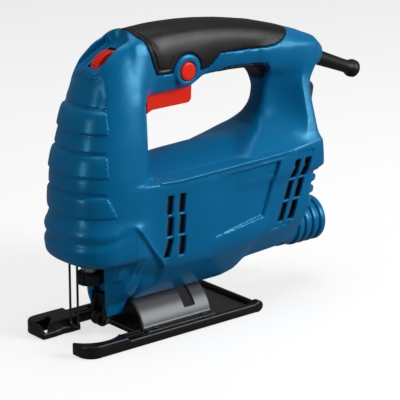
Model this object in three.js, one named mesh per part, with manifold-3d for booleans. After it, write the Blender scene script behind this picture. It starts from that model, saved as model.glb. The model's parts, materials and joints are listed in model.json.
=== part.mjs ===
// Corded jigsaw, modelled as it comes apart on a bench.
// Millimetres. X runs from the nose (-X) to the cord (+X), Z is up, and the sole rests on z = 0.
// The origin is on the sole's underside, on the centre line, below the middle of the saddle.
// The housing tilts about the X axis through the origin, so the cut line stays put at any bevel.

import * as THREE from 'three';
import { mergeVertices } from 'three/addons/utils/BufferGeometryUtils.js';
import Module from 'manifold-3d';

const wasm = await Module();
wasm.setup();

// ---- driving dimensions ----

const GAP = 0.3; // clearance between pieces that touch or are cut by each other
const WALL = 2.8; // moulded housing wall
const GRIP_SKIN = 2.0; // thickness of the soft overmould

const SOLE_FRONT = -80;
const SOLE_REAR = 60;
const SOLE_HALF_WIDTH = 36;
const SOLE_HEIGHT = 8.5; // at the front corners
const SOLE_RIM_HEIGHT = 6.3; // along both sides and at the back
const SOLE_DECK = 5.4; // between the rims, ahead of the steel plate
const SOLE_WEB = 2.2;
const RIM = 4;
const PLATE_TOP = 4;

const SADDLE_RADIUS = 25.3; // outside of the bevel arch, centred on the tilt axis
const SADDLE_SHEET = 2;
const SADDLE_HALF_LENGTH = 28;
const CLAMP_X = 12; // bevel clamp screw

const PLUNGER_X = -51;
const PLUNGER_RADIUS = 5;
const STROKE = 20;

const MOTOR_Z = 76;
const SHAFT_RADIUS = 3.8;
const GEAR_MODULE = 1.25;
const PINION_TEETH = 9;
const GEAR_TEETH = 33;
const GEAR_Z = MOTOR_Z + (GEAR_MODULE * (PINION_TEETH + GEAR_TEETH)) / 2;
const GEAR_X = [-34, -26];

const TRIGGER = { front: -11.5, rear: 25, bottom: 142.6, top: 151, halfWidth: 9 };
const LOCK = { x: 14.8, z: 166.1, radius: 6 };
const WHEEL = { x: -33.5, z: 170.4, radius: 13, halfWidth: 4 };
const ROLLER = { x: -43.6, z: 10.5, radius: 5, halfWidth: 4 };
const GUARD = { x: -64, half: 4, top: 62, bend: 13.2, bottom: 8.6, radius: 0.75 };
const PORT = { z: 42.2, outer: 15.7, inner: 12.6, start: 108, end: 139.4 };
const BOOT_START = new THREE.Vector3(128, 0, 159.4);
const BOOT_END = new THREE.Vector3(177.7, 0, 140.5);

// ---- materials ----

const finish = (color, roughness, metalness = 0) =>
  new THREE.MeshStandardMaterial({ color, roughness, metalness });

const BLUE = finish(0x0a6596, 0.42);
const BLACK_RUBBER = finish(0x1c1d1f, 0.75);
const BLACK_PLASTIC = finish(0x141516, 0.5);
const RED = finish(0xec3420, 0.4);
const GREY_STEEL = finish(0x5c6063, 0.4, 0.8);
const BRIGHT_STEEL = finish(0xb9bcbe, 0.25, 1);
const COPPER = finish(0xb06a3a, 0.35, 1);
const BRONZE = finish(0xa8824e, 0.4, 1);
const CARBON = finish(0x2a2a2c, 0.8);
const CAST = finish(0x9a9da0, 0.5, 0.9);
const BEIGE = finish(0xcfc8b8, 0.6);

// ---- solids ----

function solid(geometry) {
  const bare = geometry.clone();
  bare.deleteAttribute('normal');
  bare.deleteAttribute('uv');
  const merged = mergeVertices(bare, 1e-4);
  const vertProperties = new Float32Array(merged.attributes.position.array);
  const triVerts = new Uint32Array(merged.index.array);
  return new wasm.Manifold(new wasm.Mesh({ numProp: 3, vertProperties, triVerts }));
}

function toGeometry(body) {
  const mesh = body.getMesh();
  const geometry = new THREE.BufferGeometry();
  geometry.setAttribute('position', new THREE.BufferAttribute(mesh.vertProperties, 3));
  geometry.setIndex(new THREE.BufferAttribute(mesh.triVerts, 1));
  geometry.computeVertexNormals();
  return geometry;
}

const group = new THREE.Group();

function add(name, body, material) {
  const mesh = new THREE.Mesh(toGeometry(body), material);
  mesh.name = name;
  group.add(mesh);
}

function join(...bodies) {
  return bodies.reduce((all, body) => all.add(body));
}

function cut(body, ...tools) {
  return tools.reduce((left, tool) => left.subtract(tool), body);
}

const pt = (x, y) => new THREE.Vector2(x, y);
const outline = (pairs) => pairs.map(([x, y]) => pt(x, y));
const mirrored = (pairs) => [...pairs, ...pairs.map(([y, z]) => [-y, z]).reverse()];

// An outline whose edges all move outwards by the same distance.
function grown(points, distance) {
  const out = THREE.ShapeUtils.area(points) > 0 ? 1 : -1;
  return points.map((p, i) => {
    const before = p.clone().sub(points[(i + points.length - 1) % points.length]).normalize();
    const after = points[(i + 1) % points.length].clone().sub(p).normalize();
    const normal = pt(before.y + after.y, -before.x - after.x).multiplyScalar(out).normalize();
    const spread = Math.max(0.5, normal.x * after.y * out - normal.y * after.x * out);
    return p.clone().addScaledVector(normal, distance / spread);
  });
}

function circle(x, y, radius, sides = 24) {
  return Array.from({ length: sides }, (_, i) => {
    const angle = (2 * Math.PI * i) / sides;
    return pt(x + radius * Math.cos(angle), y + radius * Math.sin(angle));
  });
}

function extrude(points, depth, holes) {
  const shape = new THREE.Shape(points);
  holes.forEach((hole) => shape.holes.push(new THREE.Path(hole)));
  return new THREE.ExtrudeGeometry(shape, { depth, bevelEnabled: false });
}

// A prism along each axis. The outline is given in (y, z), (x, z) or (x, y).
const ALONG_X = new THREE.Matrix4().makeBasis(
  new THREE.Vector3(0, 1, 0),
  new THREE.Vector3(0, 0, 1),
  new THREE.Vector3(1, 0, 0),
);

function prismX(points, x0, x1, holes = []) {
  return solid(extrude(points, x1 - x0, holes).applyMatrix4(ALONG_X).translate(x0, 0, 0));
}

function prismY(points, y0, y1, holes = []) {
  return solid(extrude(points, y1 - y0, holes).rotateX(Math.PI / 2).translate(0, y1, 0));
}

function prismZ(points, z0, z1, holes = []) {
  return solid(extrude(points, z1 - z0, holes).translate(0, 0, z0));
}

function box(x0, x1, y0, y1, z0, z1) {
  const geometry = new THREE.BoxGeometry(x1 - x0, y1 - y0, z1 - z0);
  return solid(geometry.translate((x0 + x1) / 2, (y0 + y1) / 2, (z0 + z1) / 2));
}

const rodX = (x0, x1, y, z, r, n = 20) => prismX(circle(y, z, r, n), x0, x1);
const rodY = (x, z, y0, y1, r, n = 20) => prismY(circle(x, z, r, n), y0, y1);
const rodZ = (x, y, z0, z1, r, n = 20) => prismZ(circle(x, y, r, n), z0, z1);
const ringX = (x0, x1, y, z, r, bore, n = 24) =>
  cut(rodX(x0, x1, y, z, r, n), rodX(x0 - 1, x1 + 1, y, z, bore, n));
const ringZ = (x, y, z0, z1, r, bore, n = 20) =>
  cut(rodZ(x, y, z0, z1, r, n), rodZ(x, y, z0 - 1, z1 + 1, bore, n));

// A loft: an extruded polygon whose rings are moved to the places that section(i, k) gives.
function loft(sides, rings, section) {
  const shape = new THREE.Shape(circle(0, 0, 1, sides));
  const geometry = new THREE.ExtrudeGeometry(shape, {
    depth: rings - 1,
    steps: rings - 1,
    bevelEnabled: false,
  });
  const place = geometry.attributes.position;
  for (let v = 0; v < place.count; v += 1) {
    const turn = Math.atan2(place.getY(v), place.getX(v)) / (2 * Math.PI);
    const i = (Math.round(turn * sides) + sides) % sides;
    const point = section((2 * Math.PI * i) / sides, Math.round(place.getZ(v)));
    place.setXYZ(v, point.x, point.y, point.z);
  }
  return solid(geometry);
}

// A rounded-box curve: exponent 2 is an ellipse, and higher is squarer.
function rounded(angle, exponent) {
  const power = 2 / exponent;
  const c = Math.cos(angle);
  const s = Math.sin(angle);
  return [Math.sign(c) * Math.abs(c) ** power, Math.sign(s) * Math.abs(s) ** power];
}

// ---- housing volumes: each takes an inset, so the cavity is the same shape, one wall smaller ----

// Nose column, in level sections: [z, front x, half width, squareness].
const NOSE = [
  [52.5, -70, 32, 2.6],
  [59, -75, 34.5, 2.6],
  [76, -75.5, 34.5, 2.6],
  [82, -72.5, 31.5, 2.7],
  [108, -72, 31.5, 2.7],
  [130, -67, 29.5, 2.7],
  [153, -60.5, 26, 2.6],
  [167, -56, 22.5, 2.5],
  [178, -50.5, 19, 2.5],
  [187.5, -40, 16, 2.5],
  [194.5, -22, 9, 2.3],
];
const NOSE_REAR = -20;

function nose(inset) {
  return loft(20, NOSE.length, (angle, k) => {
    const [z, front, halfWidth, square] = NOSE[k];
    const rear = NOSE_REAR + Math.max(0, (z - 150) * 0.5);
    const [u, v] = rounded(angle, square);
    const middle = Math.min(front + halfWidth * 1.1, rear - 4);
    const reach = (u < 0 ? middle - front : rear - middle) - inset;
    const rim = k === NOSE.length - 1 ? inset : 0;
    const foot = k === 0 && inset > 0 ? -2 : 0;
    return new THREE.Vector3(middle + u * reach, v * (halfWidth - inset), z - rim + foot);
  });
}

// Motor body, in sections across: [x, keel z, keel half width, half width, ridge z].
const MOTOR = [
  [-41, 40, 21, 31, 112],
  [-29.5, 29, 16, 31.5, 112],
  [-29, 20, 13.2, 32, 112],
  [10, 20, 13.2, 33, 115.5],
  [44, 21, 13, 33, 117],
  [60, 31, 17, 32.5, 118],
  [90, 35, 20, 31.5, 118],
  [108, 40, 21, 30, 116],
  [117, 52, 22, 28, 108],
];
const CREASE_Z = 103;

function motor(inset) {
  return loft(12, MOTOR.length, (angle, k) => {
    const [x, keelZ, keel, halfWidth, ridge] = MOTOR[k];
    const end = (k === 0 ? inset : 0) - (k === MOTOR.length - 1 ? inset : 0);
    const w = halfWidth - inset;
    const side = Math.min(62, keelZ + (halfWidth - keel) * 1.75);
    const rib = [
      [w, 80],
      [w, CREASE_Z - inset - 2],
      [w * 0.86, CREASE_Z - inset + 4],
      [0, ridge - inset],
      [w * 0.86, CREASE_Z - inset + 4],
      [w, CREASE_Z - inset - 2],
      [w, 80],
      [w, side + inset * 0.4],
      [keel - inset * 0.6, keelZ + inset],
      [0, keelZ + inset],
      [keel - inset * 0.6, keelZ + inset],
      [w, side + inset * 0.4],
    ];
    const i = Math.round((angle * 12) / (2 * Math.PI)) % 12;
    const sign = i < 3 || i > 9 ? 1 : -1;
    return new THREE.Vector3(x + end, sign * rib[i][0], rib[i][1]);
  });
}

// Handle bar, in sections across: [x, underside z, top z, half width].
const HANDLE = [
  [-24, 149, 194, 17],
  [3, 151, 195.8, 17.5],
  [22, 151, 195.5, 17.5],
  [33, 158, 194.8, 17],
  [56, 158, 192.4, 16.5],
  [80, 156, 188, 16.5],
  [100, 152, 183, 16.5],
  [118, 150, 177.5, 16.5],
  [131, 150, 171, 15.5],
  [137, 153, 166, 12],
];

function handle(inset) {
  return loft(16, HANDLE.length, (angle, k) => {
    const [x, low, high, halfWidth] = HANDLE[k];
    const end = (k === 0 ? inset : 0) - (k === HANDLE.length - 1 ? inset : 0);
    const [u, v] = rounded(angle, 3);
    const y = u * (halfWidth - inset);
    return new THREE.Vector3(x + end, y, (low + high) / 2 + v * ((high - low) / 2 - inset));
  });
}

// Rear post, in level sections: [z, front x, rear x, half width, share of the width at its front edge].
const POST = [
  [88, 48, 124, 31, 1],
  [104, 50, 125, 30.5, 1],
  [114, 62, 123, 28, 0.85],
  [122, 74, 122.5, 25, 0.5],
  [130, 81, 121.5, 22.5, 0.38],
  [142, 84, 121.5, 19.5, 0.42],
  [150, 84, 124, 18, 0.6],
  [156, 80, 128, 17, 0.85],
  [168, 80, 128, 15.5, 1],
];

function post(inset) {
  return loft(16, POST.length, (angle, k) => {
    const [z, front, rear, halfWidth, share] = POST[k];
    const [u, v] = rounded(angle, 3.2);
    const x = (front + rear) / 2 + u * ((rear - front) / 2 - inset);
    const width = halfWidth * (share + ((1 - share) * (u + 1)) / 2);
    return new THREE.Vector3(x, v * Math.max(width - inset, 1), z);
  });
}

// The body's underside is cut to a V, so that it stays clear of the sole at full bevel on either side.
const BEVEL_CLEARANCE = 9.7;
const bevelRelief = (inset) => {
  const apex = BEVEL_CLEARANCE + inset * Math.SQRT2;
  const wedge = outline([[0, apex], [60, apex + 60], [60, -20], [-60, -20], [-60, apex + 60]]);
  return prismX(wedge, SOLE_FRONT - 2, SOLE_REAR + 6);
};
const housingVolume = (inset) => cut(
  join(nose(inset), motor(inset), handle(inset), post(inset)),
  bevelRelief(inset),
);

// The foot carries the guide roller. It narrows downwards so that the tool can tilt.
const FOOT_X = [-41, -31];
const FOOT_SECTION = [[30, 60], [30, 50], [19.5, 31], [16, 27], [10.6, 21.4], [9.6, 19.2], [7.5, 12.5]];
const footRecess = box(-50, -38, -7.2, 7.2, 0, 27);
const footBlock = cut(prismX(outline(mirrored(FOOT_SECTION)), ...FOOT_X), footRecess);

// Finger gap between handle and motor body, in (x, z).
const FINGER_GAP = [
  [-19.5, 118], [-20.5, 130], [-19, 143], [-13, 150.7], [20, 150.7], [23, 153], [31.5, 157.8],
  [79, 157.8], [84.5, 152], [86, 144], [85.5, 135], [81.5, 126.5], [74, 120.5], [60, 117.8], [35, 117.5],
  [10, 116], [-12, 114.5],
];

const cavity = cut(housingVolume(WALL), prismY(grown(outline(FINGER_GAP), WALL - GAP), -60, 60));
const saddleSeat = rodX(-SADDLE_HALF_LENGTH - 0.6, 60, 0, 0, SADDLE_RADIUS + GAP, 48);
const outerRaw = cut(join(housingVolume(0), footBlock), prismY(outline(FINGER_GAP), -60, 60));

// ---- soft grip: the overmould fills a pocket in the handle ----

const GRIP_SIDE = [
  [-21, 197], [-17, 191], [-10.5, 182], [-4.5, 168.5], [5, 167.5], [7, 176], [15, 179.5], [23, 176],
  [25.5, 166.5], [33, 166], [42, 175], [62, 173.5], [82, 171.5], [110, 180], [112, 198],
];
const gripSide = (grow) => grown(outline(GRIP_SIDE), grow);
const UNDER_GRIP = [[42, 155], [46, 162.5], [84, 161], [86, 150]];
const halfLeft = box(-200, 200, -100, -GAP / 2, -10, 300);
const halfRight = box(-200, 200, GAP / 2, 100, -10, 300);

const handleOuter = join(handle(0), nose(0), post(0));
const wheelBay = box(-30, -20.2, -15, 15, 150, 190);
const handleCore = join(handle(GRIP_SKIN), nose(GRIP_SKIN), post(GRIP_SKIN), wheelBay);
const handlePocket = join(handle(GRIP_SKIN + GAP), nose(GRIP_SKIN + GAP), post(GRIP_SKIN + GAP));
const gripAll = cut(handleOuter.intersect(prismY(gripSide(0), -60, 60)), handleCore);
const gripPocket = cut(prismY(gripSide(GAP), -60, 60), handlePocket);
const underGripAll = cut(handle(0).intersect(prismY(outline(UNDER_GRIP), -60, 60)), handleCore);
const underGripPocket = cut(
  prismY(outline([[42 - GAP, 155], [46, 162.5 + GAP], [84, 161 + GAP], [86 + GAP, 150]]), -60, 60),
  handlePocket,
);

// ---- housing openings ----

// A leaning slot through one side wall: x and z of its lower end, its height and its lean.
function slot(side, x, z, width, height, lean, depth = 9) {
  const points = outline([[x, z], [x + width, z], [x + width + lean, z + height], [x + lean, z + height]]);
  return side < 0 ? prismY(points, -45, -34 + depth) : prismY(points, 34 - depth, 45);
}

function ventSlots(side) {
  const slots = [];
  for (let row = 0; row < 3; row += 1) {
    for (let column = 0; column < 2; column += 1) {
      slots.push(slot(side, -13.5 + column * 9.5, 52 + row * 14, 4.6, 11.6, 0));
      slots.push(slot(side, 80.5 + column * 9 + row * 4.9, 57 + row * 14, 5, 11.6, 4.1));
    }
  }
  return slots;
}

const SCREWS = [[-33, 146], [-14, 40], [79, 44], [110, 141.5], [30.5, 162.2], [-63, 90]];
const bossWall = (x, z, y0, y1) => rodY(x, z, y0, y1, 4, 12);
const bosses = (y0, y1) => SCREWS.map(([x, z]) => bossWall(x, z, y0, y1));

const plungerWell = box(-66, -41.2, -13, 13, 50, 58);
const wheelSlot = box(-52, -15, -5, 5, 163, 200);
const wheelScoop = loft(16, 2, (angle, k) => {
  const reach = k === 0 ? 7 : 12;
  const height = k === 0 ? 0 : 14;
  const x = -34 + Math.cos(angle) * (k === 0 ? 9 : 17) - height * 0.45;
  return new THREE.Vector3(x, Math.sin(angle) * reach, 183 + Math.cos(angle) * 5.5 + height);
});
const triggerWell = box(TRIGGER.front - 2, TRIGGER.rear + 0.8, -9.5, 9.5, 140, 160);
const bootBore = boreAlong(BOOT_START.clone().add(new THREE.Vector3(-14, 0, 5.4)), BOOT_END, 6);

function boreAlong(start, end, radius) {
  const path = new THREE.LineCurve3(start, end);
  return solid(
    new THREE.ExtrudeGeometry(new THREE.Shape(circle(0, 0, radius, 16)), {
      extrudePath: path,
      steps: 1,
      bevelEnabled: false,
    }),
  );
}

const lockHole = rodY(LOCK.x, LOCK.z, -30, -8, LOCK.radius + GAP, 16);
const keySocket = rodX(116, 140, 6, 136.3, 2.3, 12);
const clampHole = rodZ(CLAMP_X, 0, 10, 40, 3.4, 16);
const portBore = rodX(100, 118, 0, PORT.z, PORT.outer - 2, 24);
const portSeat = rodX(PORT.start - GAP, 150, 0, PORT.z, PORT.outer - 1.2 + GAP, 24);

const shell = cut(
  outerRaw,
  cavity,
  gripPocket,
  underGripPocket,
  saddleSeat,
  plungerWell,
  wheelSlot,
  wheelScoop,
  triggerWell,
  bootBore,
  keySocket,
  clampHole,
  lockHole,
  portBore,
  portSeat,
  ...ventSlots(-1),
  ...ventSlots(1),
);

const innerVolume = housingVolume(WALL - 0.5);

function shellHalf(side, clip) {
  const reach = side < 0 ? [-40, -GAP / 2] : [GAP / 2, 40];
  const held = join(...bosses(...reach)).intersect(innerVolume);
  const drilled = SCREWS.map(([x, z]) => rodY(x, z, side < 0 ? -14 : -1, side < 0 ? 1 : 60, 1.9, 12));
  const sunk = side < 0 ? [] : SCREWS.map(([x, z]) => rodY(x, z, 12, 60, 3.7, 14));
  return cut(join(shell.intersect(clip), held), ...drilled, ...sunk);
}

// ---- housing, grips and screws ----

add('housing_left', shellHalf(-1, halfLeft), BLUE);
add('housing_right', shellHalf(1, halfRight), BLUE);
add('grip_left', gripAll.intersect(halfLeft), BLACK_RUBBER);
add('grip_right', gripAll.intersect(halfRight), BLACK_RUBBER);
add('under_grip', underGripAll, BLACK_RUBBER);

SCREWS.forEach(([x, z], i) => {
  const head = rodY(x, z, 12.3, 14.8, 3.2, 10);
  add(`housing_screw_${i + 1}`, join(head, rodY(x, z, -12, 12.5, 1.6, 8)), BRIGHT_STEEL);
});

// ---- dust port: a short ribbed spigot ----

const portProfile = [[PORT.inner, 0], [PORT.outer - 1.2, 0]];
for (let rib = 0; rib < 4; rib += 1) {
  const foot0 = 9.8 + rib * 5.6;
  portProfile.push([PORT.outer - 1.2, foot0], [PORT.outer, foot0 + 1.2], [PORT.outer, foot0 + 4]);
  portProfile.push([PORT.outer - 1.2, foot0 + 4.6]);
}
portProfile.push([PORT.outer - 1.2, PORT.end - PORT.start], [PORT.inner, PORT.end - PORT.start]);
const portOutline = outline(portProfile);
const port = new THREE.LatheGeometry([...portOutline, portOutline[0].clone()], 24);
port.rotateZ(-Math.PI / 2).translate(PORT.start, 0, PORT.z);
add('dust_port', solid(port), BLUE);

// ---- cord boot: the moulded strain relief ----

const bootSpan = BOOT_END.clone().sub(BOOT_START);
const bootLength = bootSpan.length();
const bootProfile = [
  [0, -12], [7.5, -12], [7.5, -9.5], [5.4, -9.5], [5.4, 0], [4.5, bootLength * 0.6], [4.4, bootLength - 13],
  [6.1, bootLength - 10], [6.1, bootLength - 3], [4.6, bootLength], [0, bootLength],
];
const boot = new THREE.LatheGeometry(outline(bootProfile), 16);
boot.applyQuaternion(
  new THREE.Quaternion().setFromUnitVectors(new THREE.Vector3(0, 1, 0), bootSpan.clone().normalize()),
);
boot.translate(BOOT_START.x, 0, BOOT_START.z);
add('cord_boot', solid(boot), BLACK_RUBBER);
add('cable_clamp', box(98, 110, -8, 8, 158, 161), BLACK_PLASTIC);

// ---- sole assembly: shoe, steel plate and bevel saddle ----

// The slot behind the blade opening lets the foot swing across at full bevel.
const SLOT_HALF_WIDTH = 22.8;
const SLOT_REAR = -30.4;

const shoeOutline = outline([
  [SOLE_FRONT + 3, 11.5], [-63, 12], [-50.5, 12], [-48, SLOT_HALF_WIDTH],
  [SLOT_REAR, SLOT_HALF_WIDTH], [SLOT_REAR, -SLOT_HALF_WIDTH], [-46, -SLOT_HALF_WIDTH],
  [-50, -26], [-58, -30.5], [-66, -30.5], [-73, -25], [-75, -15], [SOLE_FRONT, -14],
  [SOLE_FRONT, -29], [SOLE_FRONT + 3, -34], [SOLE_FRONT + 8, -SOLE_HALF_WIDTH],
  [SOLE_REAR, -SOLE_HALF_WIDTH], [SOLE_REAR + 4, -34.5], [SOLE_REAR + 4, -31.5], [SOLE_REAR, -30],
  [SOLE_REAR, 30], [SOLE_REAR + 4, 31.5], [SOLE_REAR + 4, 34.5], [SOLE_REAR, SOLE_HALF_WIDTH],
  [SOLE_FRONT + 6, SOLE_HALF_WIDTH], [SOLE_FRONT, 30],
]);
const prongHole = prismZ(outline([[-76, 15], [-67, 25], [-77, 25]]), -1, 20);
const screwSlot = box(CLAMP_X - 8, CLAMP_X + 8, -20, 20, -1, 8);
const rearTray = outline([[-30.6, -31], [SOLE_REAR - RIM, -31], [SOLE_REAR - RIM, 31], [-30.6, 31]]);
// The far edge of the blade opening is chamfered where the guide roller and the guard swing to at full bevel.
const mouthChamfer = prismX(outline([[12, 3.8], [24, 15.8], [11, 15.8], [11, 3.8]]), SOLE_FRONT - 1, -47);
const CORNER_END = -47.5; // the tall front corners end here
const lowRim = box(CORNER_END, SOLE_REAR + 10, -40, 40, SOLE_RIM_HEIGHT, 20);
const deckWidth = SOLE_HALF_WIDTH - RIM;
const deck = box(CORNER_END, SLOT_REAR, -deckWidth, deckWidth, SOLE_DECK, 20);
const sole = cut(
  prismZ(shoeOutline, 0, SOLE_HEIGHT),
  lowRim,
  deck,
  mouthChamfer,
  prismZ(rearTray, SOLE_WEB, 20),
  prongHole,
  screwSlot,
);
add('sole_shoe', sole, BLACK_PLASTIC);
const plate = cut(prismZ(grown(rearTray, -GAP), SOLE_WEB + GAP, PLATE_TOP), screwSlot);
add('sole_plate', plate, GREY_STEEL);

const archOuter = rodX(-SADDLE_HALF_LENGTH, SADDLE_HALF_LENGTH, 0, 0, SADDLE_RADIUS, 48);
const archInner = rodX(-60, 60, 0, 0, SADDLE_RADIUS - SADDLE_SHEET, 48);
const archSlot = box(CLAMP_X - 4.2, CLAMP_X + 4.2, -22, 22, 10, 40);
const FLANGE_SHEET = 1.2;
const flangeBottom = PLATE_TOP + GAP;
const flangeSpan = [-SADDLE_HALF_LENGTH, SADDLE_HALF_LENGTH, -30, 30];
const archFeet = box(...flangeSpan, flangeBottom, flangeBottom + FLANGE_SHEET);
const archAbovePlate = cut(archOuter, box(-60, 60, -40, 40, -40, PLATE_TOP + GAP));
const arch = cut(join(archAbovePlate, archFeet), archInner, archSlot);
add('saddle', arch, GREY_STEEL);

const RIVETS = [[-20, 27.6], [20, 27.6], [-20, -27.6], [20, -27.6]];
RIVETS.forEach(([x, y], i) => {
  const seat = flangeBottom + FLANGE_SHEET + GAP;
  add(`saddle_rivet_${i + 1}`, rodZ(x, y, seat, seat + 0.7, 2.1, 10), BRIGHT_STEEL);
});

const washerBand = cut(
  rodX(CLAMP_X - 9, CLAMP_X + 9, 0, 0, SADDLE_RADIUS - SADDLE_SHEET - GAP, 48),
  rodX(-60, 60, 0, 0, SADDLE_RADIUS - SADDLE_SHEET - GAP - 2.2, 48),
  rodZ(CLAMP_X, 0, 0, 60, 3.4, 14),
);
const washerClip = prismX(outline([[0, 0], [7, 28], [-7, 28]]), -20, 40);
add('clamp_plate', washerBand.intersect(washerClip), GREY_STEEL);
const screwHead = cut(rodZ(CLAMP_X, 0, 16.6, 20.2, 4.8, 12), rodZ(CLAMP_X, 0, 10, 18.8, 2.3, 6));
add('clamp_screw', join(screwHead, rodZ(CLAMP_X, 0, 20.1, 36, 3, 12)), BRIGHT_STEEL);

// ---- blade drive ----

// A spur gear's outline, with its first tooth pointing along the given angle.
function gearOutline(teeth, y, z, phase) {
  const pitch = (GEAR_MODULE * teeth) / 2;
  const root = pitch - GEAR_MODULE;
  const tip = pitch + GEAR_MODULE * 0.85;
  const half = Math.PI / teeth;
  const points = [];
  for (let tooth = 0; tooth < teeth; tooth += 1) {
    const centre = phase + 2 * half * tooth;
    const steps = [[-0.58, root], [-0.22, tip], [0.22, tip], [0.58, root]];
    steps.forEach(([share, r]) => {
      points.push(pt(y + r * Math.cos(centre + share * half), z + r * Math.sin(centre + share * half)));
    });
  }
  return points;
}

const DOWN = -Math.PI / 2;
const gearBlank = prismX(gearOutline(GEAR_TEETH, 0, GEAR_Z, DOWN), ...GEAR_X);
const pinX = PLUNGER_X + 11.3;
const gear = cut(
  gearBlank,
  rodX(GEAR_X[0] - 1, GEAR_X[1] + 1, 0, GEAR_Z, 4 + GAP, 16),
  rodX(GEAR_X[0] - 1, GEAR_X[1] + 1, STROKE / 2, GEAR_Z, 2.5 + GAP, 12),
);
add('drive_gear', gear, BRIGHT_STEEL);
add('crank_pin', rodX(pinX, GEAR_X[1], STROKE / 2, GEAR_Z, 2.5, 12), BRIGHT_STEEL);
add('gear_shaft', rodX(GEAR_X[0] - 1.5, -17, 0, GEAR_Z, 4, 16), BRIGHT_STEEL);

const plateX = [-22, -17];
const plateOutline = outline(mirrored([[21, 59], [21.5, 96], [11.5, 104.5], [7.5, 107]]).reverse());
const bearingPlate = cut(
  prismX(plateOutline, ...plateX),
  rodX(-30, 0, 0, MOTOR_Z, 8 + GAP, 20),
  rodX(-30, 0, 0, GEAR_Z, 4 + GAP, 16),
);
add('bearing_plate', bearingPlate, CAST);
add('front_bearing', ringX(-21.8, -17.2, 0, MOTOR_Z, 8, SHAFT_RADIUS + GAP, 16), BRIGHT_STEEL);

const plungerLow = 35;
const plungerRod = rodZ(PLUNGER_X, 0, plungerLow + 9, 140, PLUNGER_RADIUS, 14);
add('plunger', plungerRod, BRIGHT_STEEL);
add('plunger_bush_lower', ringZ(PLUNGER_X, 0, 59, 66, 8.5, PLUNGER_RADIUS + GAP, 14), BRONZE);
add('plunger_bush_upper', ringZ(PLUNGER_X, 0, 126, 132, 8.5, PLUNGER_RADIUS + GAP, 14), BRONZE);

const yokeX = [PLUNGER_X + PLUNGER_RADIUS + 1.6, pinX - 0.4];
const yokeFrame = cut(
  box(...yokeX, -15, 15, GEAR_Z - 6.5, GEAR_Z + 6.5),
  box(-80, 0, -13, 13, GEAR_Z - 3.1, GEAR_Z + 3.1),
);
const yokeClamp = cut(
  box(PLUNGER_X - 8, yokeX[1], -8, 8, GEAR_Z + 6.2, GEAR_Z + 11.5),
  rodZ(PLUNGER_X, 0, 0, 200, PLUNGER_RADIUS + GAP, 14),
);
add('scotch_yoke', join(yokeFrame, yokeClamp), GREY_STEEL);

const bladeSlot = box(PLUNGER_X - 4, PLUNGER_X + 4, -0.8, 0.8, 0, plungerLow + 6);
add('blade_clamp', cut(rodZ(PLUNGER_X, 0, plungerLow, plungerLow + 8.7, 5.6, 14), bladeSlot), GREY_STEEL);
add('clamp_collar', ringZ(PLUNGER_X, 0, plungerLow + 1, plungerLow + 8, 8.6, 5.9, 20), BLACK_PLASTIC);

// ---- motor ----

const shaft = rodX(GEAR_X[0] - 1, 106, 0, MOTOR_Z, SHAFT_RADIUS, 14);
add('armature_shaft', shaft, BRIGHT_STEEL);
const pinionOutline = gearOutline(PINION_TEETH, 0, MOTOR_Z, Math.PI / 2 + Math.PI / PINION_TEETH);
add('pinion', prismX(pinionOutline, ...GEAR_X, [circle(0, MOTOR_Z, SHAFT_RADIUS + 0.15, 14)]), BRIGHT_STEEL);
const bore = SHAFT_RADIUS + GAP;
add('armature_core', ringX(22, 58, 0, MOTOR_Z, 15.8, bore, 20), COPPER);
add('commutator', ringX(80, 95, 0, MOTOR_Z, 11, bore, 16), COPPER);

const bladeRing = [];
for (let blade = 0; blade < 9; blade += 1) {
  const start = (2 * Math.PI * blade) / 9;
  [[9, 0], [22.5, 0.12], [22.5, 0.2], [9, 0.14]].forEach(([r, turn]) => {
    bladeRing.push(pt(r * Math.cos(start + turn), MOTOR_Z + r * Math.sin(start + turn)));
  });
}
const fanDisc = ringX(67, 69, 0, MOTOR_Z, 22.5, bore, 20);
const fanBlades = prismX(bladeRing, 68.5, 75, [circle(0, MOTOR_Z, bore, 14)]);
add('cooling_fan', join(fanDisc, fanBlades), BLACK_PLASTIC);

add('stator_core', ringX(20, 60, 0, MOTOR_Z, 26, 16.4, 20), GREY_STEEL);
add('field_winding_front', ringX(12, 19.7, 0, MOTOR_Z, 23.5, 16.8, 20), COPPER);
add('field_winding_rear', ringX(60.3, 65.5, 0, MOTOR_Z, 23.5, 16.8, 20), COPPER);
add('air_baffle', ringX(66.5, 76, 0, MOTOR_Z, 26.5, 24, 24), BLACK_PLASTIC);
add('rear_bearing', ringX(99, 105, 0, MOTOR_Z, 8.5, bore, 16), BRIGHT_STEEL);
const cradleBore = rodX(90, 120, 0, MOTOR_Z, 8.5 + GAP, 16);
const cradle = cut(box(99, 105, -20, 20, MOTOR_Z - 12, MOTOR_Z + 12), cradleBore);
add('bearing_cradle', cradle, BLACK_PLASTIC);

[-1, 1].forEach((side) => {
  const name = side < 0 ? 'left' : 'right';
  const span = (near, far) => (side < 0 ? [-far, -near] : [near, far]);
  const tube = box(83, 92, ...span(12.5, 26), MOTOR_Z - 5, MOTOR_Z + 5);
  const channel = box(84.6, 90.4, ...span(10, 24.5), MOTOR_Z - 3.4, MOTOR_Z + 3.4);
  add(`brush_holder_${name}`, cut(tube, channel), BRONZE);
  add(`carbon_brush_${name}`, box(85, 90, ...span(11.5, 21), MOTOR_Z - 3, MOTOR_Z + 3), CARBON);
});

// ---- controls ----

const triggerSide = outline([
  [TRIGGER.front, 140.8], [-7, TRIGGER.bottom + 0.2], [22.5, TRIGGER.bottom + 0.6],
  [TRIGGER.rear - 0.4, TRIGGER.bottom + 2.6], [TRIGGER.rear, 154.5], [TRIGGER.front + 1, 154.5],
  [TRIGGER.front, 148],
]);
add('trigger', prismY(triggerSide, -TRIGGER.halfWidth, TRIGGER.halfWidth), RED);
add('switch_body', box(-4, 22, -8.5, 8.5, 160.5, 176), BLACK_PLASTIC);

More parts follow.
